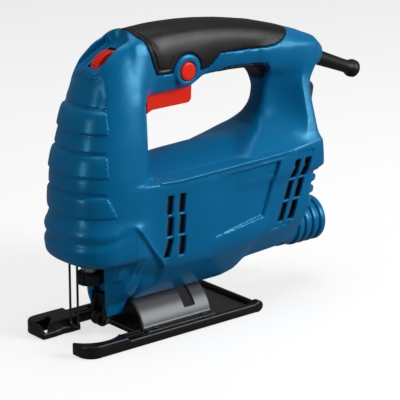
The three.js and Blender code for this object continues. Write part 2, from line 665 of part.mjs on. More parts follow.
const lockPin = rodY(LOCK.x, LOCK.z, -18.4, -11.8, LOCK.radius, 16);
const lockFlange = rodY(LOCK.x, LOCK.z, -12, -11.1, LOCK.radius + 0.8, 16);
add('lock_button', join(lockPin, lockFlange), RED);

const wheelTread = Array.from({ length: 36 }, (_, i) => {
  const angle = (Math.PI * i) / 18;
  const r = WHEEL.radius - (i % 2) * 0.7;
  return pt(WHEEL.x + r * Math.cos(angle), WHEEL.z + r * Math.sin(angle));
});
const wheelBore = circle(WHEEL.x, WHEEL.z, 2.5, 12);
add('speed_wheel', prismY(wheelTread, -WHEEL.halfWidth, WHEEL.halfWidth, [wheelBore]), RED);
const moduleBox = box(WHEEL.x - 8, WHEEL.x + 8, WHEEL.halfWidth + GAP + 0.5, 12, WHEEL.z - 8, WHEEL.z + 7);
const spindle = rodY(WHEEL.x, WHEEL.z, -WHEEL.halfWidth, WHEEL.halfWidth + 2, 2.2, 12);
add('speed_module', join(moduleBox, spindle), BLACK_PLASTIC);
add('capacitor', rodX(44, 74, 0, 176, 6, 12), BEIGE);

// ---- foot: guide roller and its fork; chip guard wire ----

const FORK_SIDE = [[-46.5, 7.5], [-41.5, 7.5], [-38.3, 13.5], [-38.3, 26], [-42.5, 26], [-46.5, 14]];
const forkCheek = (y0, y1) => prismY(outline(FORK_SIDE), y0, y1);
const forkBack = box(-42.5, -38.3, -6.8, 6.8, 17, 26);
const forkBore = rodY(ROLLER.x, ROLLER.z, -20, 20, 1.8, 12);
add('roller_fork', cut(join(forkCheek(-6.8, -4.5), forkCheek(4.5, 6.8), forkBack), forkBore), BLACK_PLASTIC);
add('roller_pin', rodY(ROLLER.x, ROLLER.z, -8, 7.5, 1.5, 10), BRIGHT_STEEL);
const rollerHalf = [[1.8, -4], [ROLLER.radius, -4], [ROLLER.radius, -1.4], [3.6, -1], [3.6, 1]];
const rollerProfile = outline([...rollerHalf, [ROLLER.radius, 1.4], [ROLLER.radius, 4], [1.8, 4], [1.8, -4]]);
const roller = new THREE.LatheGeometry(rollerProfile, 18).translate(ROLLER.x, 0, ROLLER.z);
add('guide_roller', solid(roller), BLACK_PLASTIC);

const guardPoint = (y, z) => new THREE.Vector3(GUARD.x, y, z);
const wirePath = new THREE.CurvePath();
wirePath.add(new THREE.LineCurve3(guardPoint(-GUARD.half, GUARD.top), guardPoint(-GUARD.half, GUARD.bend)));
wirePath.add(
  new THREE.CubicBezierCurve3(
    guardPoint(-GUARD.half, GUARD.bend),
    guardPoint(-GUARD.half, GUARD.bottom),
    guardPoint(GUARD.half, GUARD.bottom),
    guardPoint(GUARD.half, GUARD.bend),
  ),
);
wirePath.add(new THREE.LineCurve3(guardPoint(GUARD.half, GUARD.bend), guardPoint(GUARD.half, GUARD.top)));
const wire = new THREE.ExtrudeGeometry(new THREE.Shape(circle(0, 0, GUARD.radius, 8)), {
  extrudePath: wirePath,
  steps: 18,
  bevelEnabled: false,
});
add('chip_guard', solid(wire), GREY_STEEL);

// ---- hex key in its clip at the back ----

const keyPoints = [[119.5, 136.3], [139, 136.3], [142.4, 133.2], [138.4, 112], [135, 100]];
const keyPath = new THREE.CurvePath();
for (let i = 0; i + 1 < keyPoints.length; i += 1) {
  const [from, to] = [keyPoints[i], keyPoints[i + 1]];
  const start = new THREE.Vector3(from[0], 6, from[1]);
  keyPath.add(new THREE.LineCurve3(start, new THREE.Vector3(to[0], 6, to[1])));
}
const key = new THREE.ExtrudeGeometry(new THREE.Shape(circle(0, 0, 1.9, 6)), {
  extrudePath: keyPath,
  steps: 16,
  bevelEnabled: false,
});
add('hex_key', solid(key), BRIGHT_STEEL);

export default group;
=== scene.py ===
import json
import math
import bmesh
import bpy
import numpy as np
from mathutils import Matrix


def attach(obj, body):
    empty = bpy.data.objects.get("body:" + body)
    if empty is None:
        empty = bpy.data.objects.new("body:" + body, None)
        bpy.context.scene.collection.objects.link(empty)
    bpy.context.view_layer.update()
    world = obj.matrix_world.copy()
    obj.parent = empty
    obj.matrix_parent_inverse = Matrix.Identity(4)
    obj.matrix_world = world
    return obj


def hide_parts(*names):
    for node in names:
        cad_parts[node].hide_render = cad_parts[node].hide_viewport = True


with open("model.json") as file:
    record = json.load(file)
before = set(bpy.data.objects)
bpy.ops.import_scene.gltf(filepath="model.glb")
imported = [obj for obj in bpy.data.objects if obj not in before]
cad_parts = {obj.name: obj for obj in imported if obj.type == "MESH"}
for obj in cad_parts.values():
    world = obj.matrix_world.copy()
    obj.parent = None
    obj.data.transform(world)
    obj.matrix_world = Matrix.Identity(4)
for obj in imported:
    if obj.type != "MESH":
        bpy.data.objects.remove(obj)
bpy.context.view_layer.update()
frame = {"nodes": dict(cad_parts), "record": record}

import openvdb as vdb
from mathutils import Vector

MM = 0.001

# ---- named sizes and places, in millimetres in the shared frame ----

WALL = 2.8
PARTING = 0.06  # the gap between two sawn halves
GRIP_DEPTH, GRIP_SEAT = 2.0, 2.3  # thickness of the soft pads, and depth of their seats
BOSS_RADIUS, HEAD_RADIUS = 5.4, 3.7  # screw bosses, and the wells for the screw heads
BEVEL_CLEARANCE = 9.7
LOCK_X, LOCK_Z = 14.8, 166.1
WHEEL_X, WHEEL_Z, WHEEL_R = -33.5, 170.4, 13.0
PORT_Z = 42.2
SCREWS = [(-33, 146), (-14, 40), (79, 44), (110, 141.5), (30.5, 162.2), (-63, 90)]
FINGER_GAP = [
    (-19.5, 118), (-20.5, 130), (-19, 143), (-13, 150.7), (20, 150.7), (23, 153), (31.5, 157.8),
    (79, 157.8), (84.5, 152), (86, 144), (85.5, 135), (81.5, 126.5), (74, 120.5), (60, 117.8), (35, 117.5),
    (10, 116), (-12, 114.5),
]
GRIP_SIDE = [
    (-21.5, 202), (-20.7, 193.4), (-16.7, 190.3), (-15.2, 186), (-14, 181.4), (-12, 175), (-9.6, 169.6),
    (-8, 168.3), (6, 167.9), (27, 166.6), (31.5, 166.8), (34, 168.4), (41.3, 175.7), (60, 175), (81.7, 174),
    (89.2, 174.6), (95.5, 176.6), (101, 179.6), (107, 184.5), (109, 202),
]
UNDER_GRIP = [(42, 150), (45.5, 158), (49, 162), (81, 160.6), (84, 157.5), (86, 150)]


# ---- fields: signed distance on a grid, in millimetres, negative inside ----

def axes(lo, hi, step):
    counts = [int(math.ceil((b - a) / step)) + 1 for a, b in zip(lo, hi)]
    lines = [np.float32(a) + np.float32(step) * np.arange(n, dtype=np.float32) for a, n in zip(lo, counts)]
    return lines[0][:, None, None], lines[1][None, :, None], lines[2][None, None, :]


def union(a, b, k=0.0):
    low = np.minimum(a, b)
    if k <= 0:
        return low
    h = np.maximum(k - np.abs(a - b), 0) / k
    return low - h * h * k * 0.25


def both(a, b, k=0.0):
    return -union(-a, -b, k)


def cut(a, b, k=0.0):
    return both(a, -b, k)


def table(at, points, blur=3.0):
    """A smoothed line through (position, value) points."""
    xs, ys = zip(*points)
    fine = np.arange(xs[0] - 30, xs[-1] + 30, 0.5)
    values = np.interp(fine, xs, ys)
    if blur > 0:
        reach = int(blur * 8)
        kernel = np.exp(-0.5 * (np.arange(-reach, reach + 1) * 0.5 / blur) ** 2)
        kernel /= kernel.sum()
        values = np.convolve(np.pad(values, reach, mode="edge"), kernel, mode="valid")
    return np.interp(at, fine, values).astype(np.float32)


def polygon(px, pz, points, radius=0.0):
    shape = np.broadcast_shapes(px.shape, pz.shape)
    best = np.full(shape, 1e9, np.float32)
    inside = np.zeros(shape, bool)
    for (ax, az), (bx, bz) in zip(points, points[1:] + points[:1]):
        ex, ez = bx - ax, bz - az
        t = np.clip(((px - ax) * ex + (pz - az) * ez) / (ex * ex + ez * ez), 0, 1)
        best = np.minimum(best, (px - ax - t * ex) ** 2 + (pz - az - t * ez) ** 2)
        if bz != az:
            crosses = ((az > pz) != (bz > pz)) & (px < ex * (pz - az) / ez + ax)
            inside ^= crosses
    d = np.sqrt(best)
    return np.where(inside, -d, d).astype(np.float32) - radius


def segment(px, pz, a, b):
    ex, ez = b[0] - a[0], b[1] - a[1]
    t = np.clip(((px - a[0]) * ex + (pz - a[1]) * ez) / (ex * ex + ez * ez), 0, 1)
    return np.sqrt((px - a[0] - t * ex) ** 2 + (pz - a[1] - t * ez) ** 2)


def superellipse(u, v, n):
    return (np.abs(u) ** n + np.abs(v) ** n) ** (1.0 / n)


def step(value, start, end):
    t = np.clip((value - start) / (end - start), 0, 1)
    return t * t * (3 - 2 * t)


def true_distance(field, size):
    gx, gy, gz = np.gradient(field, size)
    slope = np.sqrt(gx * gx + gy * gy + gz * gz)
    return field / np.clip(slope, 0.25, 4.0)


def to_object(name, field, lo, size, adaptivity=0.02, smooth=2):
    band = 4 * size
    volume = vdb.FloatGrid(float(band))
    volume.copyFromArray(np.clip(field, -band, band).astype(np.float32))
    points, triangles, quads = volume.convertToPolygons(isovalue=0.0, adaptivity=adaptivity)
    points = (points * size + np.array(lo)) * MM
    mesh = bpy.data.meshes.new(name)
    faces = [tuple(int(i) for i in f[::-1]) for f in quads] + [tuple(int(i) for i in f[::-1]) for f in triangles]
    mesh.from_pydata([tuple(p) for p in points], [], faces)
    mesh.validate()
    for p in mesh.polygons:
        p.use_smooth = True
    made = bpy.data.objects.new(name, mesh)
    bpy.context.scene.collection.objects.link(made)
    if smooth:
        soften = made.modifiers.new("soften", "SMOOTH")
        soften.factor = 0.5
        soften.iterations = smooth
    return made


# ---- the moulded body ----

STEP = 0.6
BODY_LO, BODY_HI = (-84.0, -38.0, 6.0), (146.0, 38.0, 200.0)


def nose_field(x, y, z):
    front = table(z, [(46, -64), (52, -70), (57, -75), (66, -76), (76, -75.6), (82, -72.4), (108, -72),
                      (130, -67), (153, -60.5), (167, -56), (178, -50.5), (187.5, -40), (194.5, -22),
                      (197, -10)], 1.6)
    half = table(z, [(46, 29), (52, 32), (57, 34), (66, 34.6), (76, 34.5), (82, 31.8), (108, 31.6),
        (130, 29.5),
                     (153, 26), (167, 22.5), (178, 19), (187.5, 16), (194.5, 9.5), (197, 6)], 1.8)
    rear = -18 + np.maximum(0, (z - 150) * 0.5)
    middle = np.minimum(front + half * 1.1, rear - 4)
    reach = np.where(x < middle, middle - front, rear - middle)
    d = (superellipse((x - middle) / reach, y / half, 2.55) - 1) * np.minimum(reach, half)
    top = z - 194.0 + np.clip(x + 24, 0, 40) * 0.9
    return both(both(d, 52.0 - z, 5.0), top, 4.0)


def handle_field(x, y, z):
    low = table(x, [(-24, 149), (3, 150.5), (22, 151), (33, 157.6), (56, 158), (80, 156), (100, 152),
        (118, 149.5),
                    (131, 150.2), (137, 153.5), (141, 160)], 2.2)
    high = table(x, [(-24, 194), (-9, 195.3), (7, 196), (23, 195.6), (39, 194.4), (56, 192.4), (80, 188.2),
                     (100, 183), (118, 177.5), (131, 171.5), (137, 166.5), (141, 161)], 2.2)
    half = table(x, [(-24, 17), (22, 17.6), (56, 16.8), (80, 16.6), (118, 16.5), (131, 15), (137, 11.5),
        (141, 5)], 2.5)
    h = (high - low) / 2
    d = (superellipse(y / half, (z - (low + high) / 2) / h, 2.7) - 1) * np.minimum(half, h)
    return both(both(d, -25 - x, 2.0), x - 139.2, 4.0)


def post_field(x, y, z):
    """The rear post: a flat band along its back edge, and hollow sides that narrow towards the gap."""
    front = table(z, [(88, 48), (104, 50), (114, 64), (122, 75), (130, 81.5), (142, 84), (152, 83), (158, 80),
        (168, 78)], 2.5)
    rear = table(z, [(88, 123.5), (100, 122.8), (114, 121.5), (134, 120.8), (144, 121), (153, 126),
        (168, 128)], 2)
    half = table(z, [(88, 31), (104, 30.4), (114, 28), (122, 25.6), (130, 23.2), (142, 20), (156, 17.2),
        (168, 15.5)], 3)
    share = table(z, [(88, 1), (103, 1), (114, 0.74), (122, 0.46), (130, 0.34), (142, 0.36), (150, 0.55),
        (158, 0.9), (168, 1)], 2)
    band = rear - table(z, [(88, 26), (104, 18), (118, 11), (140, 10), (156, 14)], 4)
    along = np.clip((x - front) / (band - front), 0, 1)
    side = (np.abs(y) - half * (share + (1 - share) * along ** 2.1)) * 0.85
    bulge = 3.0 * np.clip(y / half, -1, 1) ** 2
    d = both(both(side, front - x, 8.0), x - rear + bulge, 2.4)
    return both(both(d, 90 - z, 2), z - 170, 4)


def motor_field(x, y, z):
    keel_z = table(x, [(-41, 38), (-31, 28), (-26, 20.5), (10, 20), (44, 21), (54, 25), (62, 32), (90, 35),
        (108, 40), (118, 52)], 1.6)
    keel = table(x, [(-41, 18), (-29, 13.2), (44, 13), (60, 17), (90, 20), (117, 22)], 2)
    half = table(x, [(-41, 31), (-29, 31.8), (10, 33), (60, 32.7), (90, 31.8), (108, 30.4), (117, 29)], 4)
    ridge = table(x, [(-41, 112), (-20, 112.5), (10, 115.5), (44, 117), (90, 118), (117, 116)], 4)
    crease = table(x, [(-41, 102), (-6, 101.4), (91, 104.2), (120, 106)], 4)
    chine = table(x, [(-41, 58), (-16, 49), (20, 47.5), (60, 52), (90, 56), (117, 62)], 5)
    slope = (half - keel) / np.maximum(chine - keel_z, 6)
    lower = (np.abs(y) - keel - (z - keel_z) * slope) / np.sqrt(1 + slope * slope)
    side = np.abs(y) - half
    rise = (ridge - crease) / half
    upper = (z - crease - (half - np.abs(y)) * rise) / np.sqrt(1 + rise * rise)
    d = both(side, lower, 3.0)
    d = both(d, upper, 0.9)
    d = both(d, keel_z - z, 3.0)
    rear = table(z, [(30, 100), (40, 106), (52, 111.5), (61, 114.5), (77, 118.4), (88, 121.4), (94, 123.4),
        (100, 123), (118, 121)], 2)
    d = both(d, x - rear, 9.0)
    return both(d, -46 - x, 2.0)


def foot_field(x, y, z):
    """The foot behind the blade: its front is chamfered on both sides and narrows downwards."""
    half = table(z, [(10, 7.3), (12.5, 7.6), (19.2, 9.2), (21.4, 10.2), (27, 15.2), (31, 18.6), (50, 29.4),
        (60, 31)], 0.8)
    front = table(z, [(10, -44.5), (27, -46), (45, -47), (60, -50)], 2)
    d = both(np.abs(y) - half, both(front - x, x + 29.5, 2.0), 2.0)
    d = both(d, (np.abs(y) - 10.2 - (x - front) * 1.5) * 0.55, 1.2)
    return both(both(d, 12.6 - z, 1.0), z - 60, 1.0)


def body_field(x, y, z):
    nose = nose_field(x, y, z)
    motor = motor_field(x, y, z)
    handle = handle_field(x, y, z)
    post = post_field(x, y, z)
    d = union(nose, motor, 2.5)
    d = union(d, handle, 7.0)
    d = union(d, post, 7.0)
    relief = (np.abs(y) + BEVEL_CLEARANCE - z) / math.sqrt(2)
    d = np.where((x > -82) & (x < 66), both(d, relief, 1.5), d)
    d = union(d, foot_field(x, y, z), 2.0)
    return true_distance(d.astype(np.float32), STEP)


def gap_cut(d, x, y, z):
    """The finger gap, with well rounded edges."""
    return cut(d, polygon(x, z, FINGER_GAP), 5.0)


def nose_details(d, x, y, z):
    """Proud bands round the nose with a groove at each edge, and a shallow step above the top one."""
    edge = table(z, [(60, -44), (86, -52), (100, -58.5), (112, -56.8), (124, -56.4), (138, -54), (150, -53),
        (160, -49)], 1.0)
    ahead = step(x, edge + 0.5, edge - 0.3)
    for low, high, proud in [(137.7, 150.3, 1.5), (111.5, 123.8, 1.4), (85.9, 98.6, 1.2)]:
        inside = step(z, low - 0.4, low + 0.5) * step(z, high + 0.5, high - 0.4)
        bulge = 0.8 + 0.2 * np.sin(np.clip((z - low) / (high - low), 0, 1) * math.pi)
        d = d - proud * inside * ahead * bulge
        d = d + 1.3 * np.exp(-((z - high - 1.7) / 1.0) ** 2) * ahead
        d = d + 0.5 * np.exp(-((z - low + 0.9) / 0.8) ** 2) * ahead
    strip = step(x, edge - 0.5, edge - 3) * step(z, 150, 153)
    return d + 1.3 * strip


def side_details(d, x, y, z):
    """Raised line along the crease, the tapering name panel (left blank) and the vent panel."""
    flank = step(np.abs(y), 22, 25)
    crease = [(-24.4, 150), (-25.8, 128), (-25.6, 113.2), (-23.2, 106.6), (-18, 102.6), (-6, 101.6),
        (91, 104.4)]
    line = np.minimum.reduce([segment(x, z, a, b) for a, b in zip(crease, crease[1:])])
    d = d - 0.75 * np.exp(-(line / 0.95) ** 2) * flank * step(x, 96, 80)
    d = d + 0.35 * np.exp(-((line - 2.2) / 0.8) ** 2) * flank * step(x, 96, 80)
    panel = polygon(x, z, [(14, 56.6), (66.5, 64.4), (80.2, 99.2), (34, 97.6), (20, 90)])
    depth = np.clip((x - 16) / 62, 0, 1) * 2.7 * step(np.abs(y), 20, 22)
    d = d + depth * step(panel, 0.4, -0.4)
    vents = polygon(x, z, [(75.6, 53.5), (89.4, 54), (109.6, 101.4), (96, 101.4)], 1.0)
    d = d + 0.8 * step(vents, 0.4, -0.4) * flank
    scallops = np.minimum.reduce([np.abs(z - n) for n in (61.5, 69.0, 76.5, 84.0)])
    corner = step(x, 108.5, 110.5) * step(np.abs(y), 17, 20)
    return d + 2.0 * step(scallops, 2.3, 1.4) * corner


def ridge_details(d, x, y, z):
    """The slanting edge from the skirt back down to the chine, and the groove above the skirt."""
    line = segment(x, z, (-37.5, 76.5), (-15.5, 47.6))
    along = (x + 37.5) * 0.8 + (76.5 - z) * -0.6
    below = step(along, 0.6, -2.5) * step(x, -58, -46) * step(z, 80, 74)
    panel = 1.5 * below * step(np.abs(y), 20, 24) * step(x, -14, -18)
    rising = 69.5 + 5.0 * step(x, -62, -40) * step(np.abs(y), 18, 28)
    groove = 1.7 * np.exp(-((z - rising) / 2.8) ** 2) * step(x, -37.5, -43)
    d = d + np.maximum(panel, groove)
    return d - 0.8 * np.exp(-(line / 1.2) ** 2) * step(np.abs(y), 20, 24)


def vent_slots(x, z):
    slots = None
    for row in range(3):
        for column in range(2):
            x0, z0 = -13.6 + column * 9.6, 52.5 + row * 14
            lean = 3.4 if row == 0 and column == 0 else 0.8
            a = [(x0 - lean, z0), (x0 + 4.6 - lean, z0), (x0 + 4.9, z0 + 12.2), (x0 + 0.3, z0 + 12.2)]
            rx, rz = 79.6 + column * 9.2 + row * 5.35, 57 + row * 14
            b = [(rx, rz), (rx + 5, rz), (rx + 9.4, rz + 12), (rx + 4.4, rz + 12)]
            for quad in (a, b):
                p = polygon(x, z, quad)
                slots = p if slots is None else np.minimum(slots, p)
    return slots


def tube_y(x, z, cx, cz, radius):
    return np.sqrt((x - cx) ** 2 + (z - cz) ** 2) - radius


def wheel_recess(x, y, z):
    """A flat floor ahead of the speed wheel and a round scoop behind it."""
    tilt = (x + 45.4) * -0.475 + (z - 175.7) * 0.88
    floor = both(-tilt, np.abs(y) - 11.2, 0.8)
    floor = both(both(floor, -51.5 - x, 1.0), x + 27.5, 1.0)
    scoop = np.sqrt((x + 33.0) ** 2 + (y * 1.04) ** 2 + (z - 193.5) ** 2) - 10.6
    return union(floor, scoop, 1.0)


x, y, z = axes(BODY_LO, BODY_HI, STEP)
base = body_field(x, y, z)
base = gap_cut(base, x, y, z)
base = true_distance(base, STEP)
detailed = side_details(ridge_details(nose_details(base, x, y, z), x, y, z), x, y, z)
inner = np.maximum(base, detailed) + WALL

grip_plan = cut(polygon(x, z, GRIP_SIDE, 1.5), tube_y(x, z, LOCK_X, LOCK_Z, 11.3), 1.5)
under_plan = polygon(x, z, UNDER_GRIP, 0.8)

collar = both(tube_y(x, z, LOCK_X, LOCK_Z, 9.6), -y - 17.9, 1.2)
collar = both(collar, 12.0 + y)
detailed = union(detailed, collar, 1.2)

shell = cut(detailed, inner)
for screw_x, screw_z in SCREWS:
    boss = both(both(tube_y(x, z, screw_x, screw_z, BOSS_RADIUS), detailed + 0.3), 9.5 - y)
    shell = union(shell, boss, 0.8)
    shell = cut(shell, both(tube_y(x, z, screw_x, screw_z, HEAD_RADIUS), 12.0 - y), 0.5)
shell = cut(shell, union(grip_plan - 0.35, under_plan - 0.35) + np.maximum(0, -(base + GRIP_SEAT)) * 4, 0.3)
saddle_seat = both(np.sqrt(y * y + z * z) - 25.6, -28.6 - x)
shell = cut(shell, saddle_seat)
slots = vent_slots(x, z)
shell = cut(shell, both(slots, 24 - np.abs(y)), 0.5)
recess = wheel_recess(x, y, z)
shell = union(shell, both(recess - 2.0, base + 0.4))
shell = cut(shell, recess, 0.5)
shell = cut(shell, both(tube_y(x, z, WHEEL_X, WHEEL_Z, WHEEL_R + 1.0), np.abs(y) - 5.0), 0.4)
well = both(both(np.abs(x + 53.5) - 12.3, np.abs(y) - 12.8, 2.0), both(z - 58.5, 50 - z))
path = both(np.sqrt((x + 51) ** 2 + y * y) - 9.6, both(z - 58.5, 24 - z))
shell = cut(cut(shell, well, 0.4), path, 0.6)
trigger_well = both(both(np.abs(x - 6.2) - 19.6, np.abs(y) - 9.6), both(z - 160, 139 - z))
shell = cut(shell, trigger_well, 0.6)
foot_recess = both(both(x + 37.9, np.abs(y) - 7.25, 0.6), z - 27.2, 0.6)
shell = cut(shell, foot_recess, 0.4)
shell = cut(shell, both(tube_y(x, z, LOCK_X, LOCK_Z, 6.3), y + 8), 0.3)
shell = cut(shell, both(np.sqrt((y - 6) ** 2 + (z - 136.3) ** 2) - 2.4, 114 - x), 0.3)
shell = cut(shell, both(np.sqrt(y * y + (z - PORT_Z) ** 2) - 14.9, 106.5 - x), 0.4)
boot_axis = np.abs((x - 128) * -0.355 - (z - 159.4) * 0.935)
shell = cut(shell, both(np.sqrt(y * y + boot_axis ** 2) - 6.1, 120 - x), 0.4)

grip_outer = base - 0.1
inset_line = np.abs(grip_plan + 3.0) - 0.35
front_border = step(x, 8, -2)
grip_outer = grip_outer - 0.25 * step(grip_plan, -3.0, -3.8) * front_border
grip_outer = grip_outer + 0.7 * step(inset_line, 0.5, -0.1) * front_border
grip = both(both(grip_outer, grip_plan, 0.8), -(base + GRIP_DEPTH))
grip = cut(grip, both(tube_y(x, z, LOCK_X, LOCK_Z, 9.9), y), 0.5)
under = both(both(base - 0.15, under_plan, 0.6), -(base + GRIP_DEPTH))

# Painted shade: a dark sheet just inside the vent slots stands in for the shade inside the housing.
vent_zone = union(
    polygon(x, z, [(-18, 49), (4, 49), (4, 96), (-18, 96)]),
    polygon(x, z, [(75, 54), (91, 54), (111, 101), (95, 101)]),
)
vent_shade_field = both(both(inner + 0.2, -(inner + 1.7)), both(vent_zone, 18 - np.abs(y)))


def halves(names, field):
    """Smooths the whole form, then saws it along the mould's parting plane."""
    whole = to_object("whole", field, BODY_LO, STEP)
    bpy.context.view_layer.update()
    smooth = bpy.data.meshes.new_from_object(whole.evaluated_get(bpy.context.evaluated_depsgraph_get()))
    for name, sign in zip(names, (-1, 1)):
        bm = bmesh.new()
        bm.from_mesh(smooth)
        sawn = bmesh.ops.bisect_plane(
            bm, geom=bm.verts[:] + bm.edges[:] + bm.faces[:], plane_co=(0, sign * PARTING * MM / 2, 0),
            plane_no=(0, -sign, 0), clear_outer=True)
        rim = [e for e in sawn["geom_cut"] if isinstance(e, bmesh.types.BMEdge)]
        bmesh.ops.triangle_fill(bm, use_beauty=False, use_dissolve=False, edges=rim, normal=(0, -sign, 0))
        mesh = bpy.data.meshes.new(name)
        bm.to_mesh(mesh)
        bm.free()
        mesh.shade_smooth()
        mesh.set_sharp_from_angle(angle=math.radians(55))
        pieces[name] = bpy.data.objects.new(name, mesh)
        bpy.context.scene.collection.objects.link(pieces[name])
    bpy.data.objects.remove(whole)


pieces = {}
halves(("housing_left_shell", "housing_right_shell"), shell)
halves(("grip_left_cover", "grip_right_cover"), grip)
pieces["under_grip_pad"] = to_object("under_grip_pad", under, BODY_LO, STEP)
pieces["vent_shade_lining"] = to_object("vent_shade_lining", vent_shade_field, BODY_LO, STEP)
del base, inner, detailed, shell, grip, under, vent_shade_field, recess


# ---- the sole, in one moulding ----

SOLE_STEP = 0.5
SOLE_LO, SOLE_HI = (-83.0, -38.5, -1.5), (67.0, 38.5, 11.0)
SOLE_RIM, SOLE_DECK, SOLE_WEB = 6.3, 5.4, 2.2  # heights of the rim, the front deck and the rear tray
CORNER_RISE = 2.1  # how far the front corners stand above the rim
SLOT_END = -30.4  # the back edge of the blade opening
SOLE_CORE = [(-70, 26), (70, 26), (70, -26), (-70, -26)]
SLOT_PLAN = [(-64, 12), (-50.5, 12), (-48, 22.8), (SLOT_END, 22.8), (SLOT_END, -22.8), (-46, -22.8),
    (-60, -20)]
sx, sy, sz = axes(SOLE_LO, SOLE_HI, SOLE_STEP)
outside = polygon(sx, sy, SOLE_CORE, 10.0)
outside = both(outside, sx - 61.5, 3.0)
opening = np.sqrt((sx + 61) ** 2 + (sy + 9) ** 2) - 21
opening = union(opening, polygon(sx, sy, SLOT_PLAN), 1.0)
opening = union(opening, both(sx + 63, np.abs(sy + 1.4) - 13.2), 2.0)
plan = cut(outside, opening, 1.2)
rim = -outside
corner = step(sx, -46.5, -48.5)
height = SOLE_RIM + CORNER_RISE * corner
tray = np.where(sx < SLOT_END, SOLE_DECK, SOLE_WEB)
inside_rim = step(rim, 3.6, 4.6) * step(sx, -48.5, -46.5)
height = height * (1 - inside_rim) + tray * inside_rim
lip = (sx > -48) & (sx < SLOT_END) & (opening < 2.2)
height = np.where(lip, SOLE_RIM, height)
ridges = step(np.abs(np.mod(sy + 80, 8.0) - 4.0), 1.2, 0.6) * ((sx < SLOT_END) & (sx > -46.5) & (rim > 4.6))
height = np.maximum(height, 6.2 * ridges)
chamfer = (sz - sy + 8.2) / math.sqrt(2)
sole = both(both(plan, sz - height, 1.2), -sz, 0.7)
sole = np.where((sy > 9) & (sx < -47), both(sole, chamfer, 0.4), sole)
sole = cut(sole, polygon(sx, sy, [(-76.3, 14.6), (-67.5, 25), (-77, 25)], 0.4), 0.8)
pocket = polygon(sx, sy, [(-76.5, 13.8), (-64.5, 26), (-77, 26)], 1.0)
sole = cut(sole, both(pocket, 2.6 - sz), 0.8)
slot_cut = both(np.abs(sx - 12) - 8, np.abs(sy) - 20)
sole = cut(sole, slot_cut, 0.3)
for side in (-1, 1):
    end = np.sqrt((sx - 60.2) ** 2 + (sz - 3.9) ** 2) - 3.8
    end = both(end, np.abs(sy - side * 33) - 2.9, 1.2)
    sole = union(sole, both(end, -sz), 0.6)
pieces["sole_moulding"] = to_object("sole_moulding", sole, SOLE_LO, SOLE_STEP, smooth=1)


# ---- the bevel arch, pressed from sheet ----

ARCH_STEP = 0.4
ARCH_RADIUS, ARCH_HALF_SHEET = 24.3, 1.0
FLANGE_HEIGHT, FLANGE_HALF_SHEET = 4.9, 0.6
ARCH_LO, ARCH_HI = (-30.0, -31.5, 2.5), (30.0, 31.5, 27.5)
ax, ay, az = axes(ARCH_LO, ARCH_HI, ARCH_STEP)
bow = both(np.abs(np.sqrt(ay * ay + az * az) - ARCH_RADIUS) - ARCH_HALF_SHEET, 4.3 - az)
flange = both(np.abs(az - FLANGE_HEIGHT) - FLANGE_HALF_SHEET, both(np.abs(ay) - 30, 23.3 - np.abs(ay)))
arch = both(union(bow, flange, 1.6), np.abs(ax) - 28, 0.5)
arch = cut(arch, both(np.abs(ax - 12) - 4.2, both(np.abs(ay) - 22, 10 - az)), 0.3)
pieces["saddle_arch"] = to_object("saddle_arch", arch, ARCH_LO, ARCH_STEP, adaptivity=0.0, smooth=1)


# ---- mesh helpers for turned, bent and cut pieces ----

def from_mesh(name, verts, faces, smooth_angle=35):
    mesh = bpy.data.meshes.new(name)
    mesh.from_pydata([tuple(c * MM for c in v) for v in verts], [], faces)
    mesh.validate()
    made = bpy.data.objects.new(name, mesh)
    bpy.context.scene.collection.objects.link(made)
    bm = bmesh.new()
    bm.from_mesh(mesh)
    bmesh.ops.recalc_face_normals(bm, faces=bm.faces)
    bm.to_mesh(mesh)
    bm.free()
    mesh.shade_smooth()
    mesh.set_sharp_from_angle(angle=math.radians(smooth_angle))
    return made


def turned(name, profile, origin, direction, sides=48, closed=False, ripple=None):
    """A lathe piece: profile is (distance along the axis, radius)."""
    axis = Vector(direction).normalized()
    side = axis.orthogonal().normalized()
    other = axis.cross(side)
    verts, faces = [], []
    for along, radius in profile:
        for k in range(sides):
            a = 2 * math.pi * k / sides
            r = radius + (ripple(along, a) if ripple else 0)
            verts.append(Vector(origin) + axis * along + side * (r * math.cos(a)) + other * (r * math.sin(a)))
    rings = len(profile)
    for i in range(rings if closed else rings - 1):
        j = (i + 1) % rings
        for k in range(sides):
            n = (k + 1) % sides
            faces.append((i * sides + k, i * sides + n, j * sides + n, j * sides + k))
    if not closed:
        faces.append(tuple(range(sides)))
        faces.append(tuple((rings - 1) * sides + k for k in range(sides)))
    return from_mesh(name, verts, faces)


def rounded_path(points, radius, steps=7):
    path = [Vector(points[0])]
    for a, b, c in zip(points, points[1:], points[2:]):
        a, b, c = Vector(a), Vector(b), Vector(c)
        reach = min(radius, (a - b).length * 0.45, (c - b).length * 0.45)
        start, end = b + (a - b).normalized() * reach, b + (c - b).normalized() * reach
        for i in range(steps + 1):
            t = i / steps
            path.append(start * (1 - t) ** 2 + b * (2 * t * (1 - t)) + end * t ** 2)
    path.append(Vector(points[-1]))
    return path


def bent(name, path, radius, sides=12):
    verts, faces = [], []
    up = Vector((0, 1, 0)) if abs((path[1] - path[0]).normalized().y) < 0.9 else Vector((1, 0, 0))
    for i, p in enumerate(path):
        tangent = (path[min(i + 1, len(path) - 1)] - path[max(i - 1, 0)]).normalized()
        side = tangent.cross(up).normalized()
        up = side.cross(tangent).normalized()
        for k in range(sides):
            a = 2 * math.pi * (k + 0.5) / sides
            verts.append(p + side * (radius * math.cos(a)) + up * (radius * math.sin(a)))
    for i in range(len(path) - 1):
        for k in range(sides):
            n = (k + 1) % sides
            faces.append((i * sides + k, i * sides + n, (i + 1) * sides + n, (i + 1) * sides + k))
    faces.append(tuple(range(sides)))
    faces.append(tuple((len(path) - 1) * sides + k for k in range(sides)))
    return from_mesh(name, verts, faces, 50)


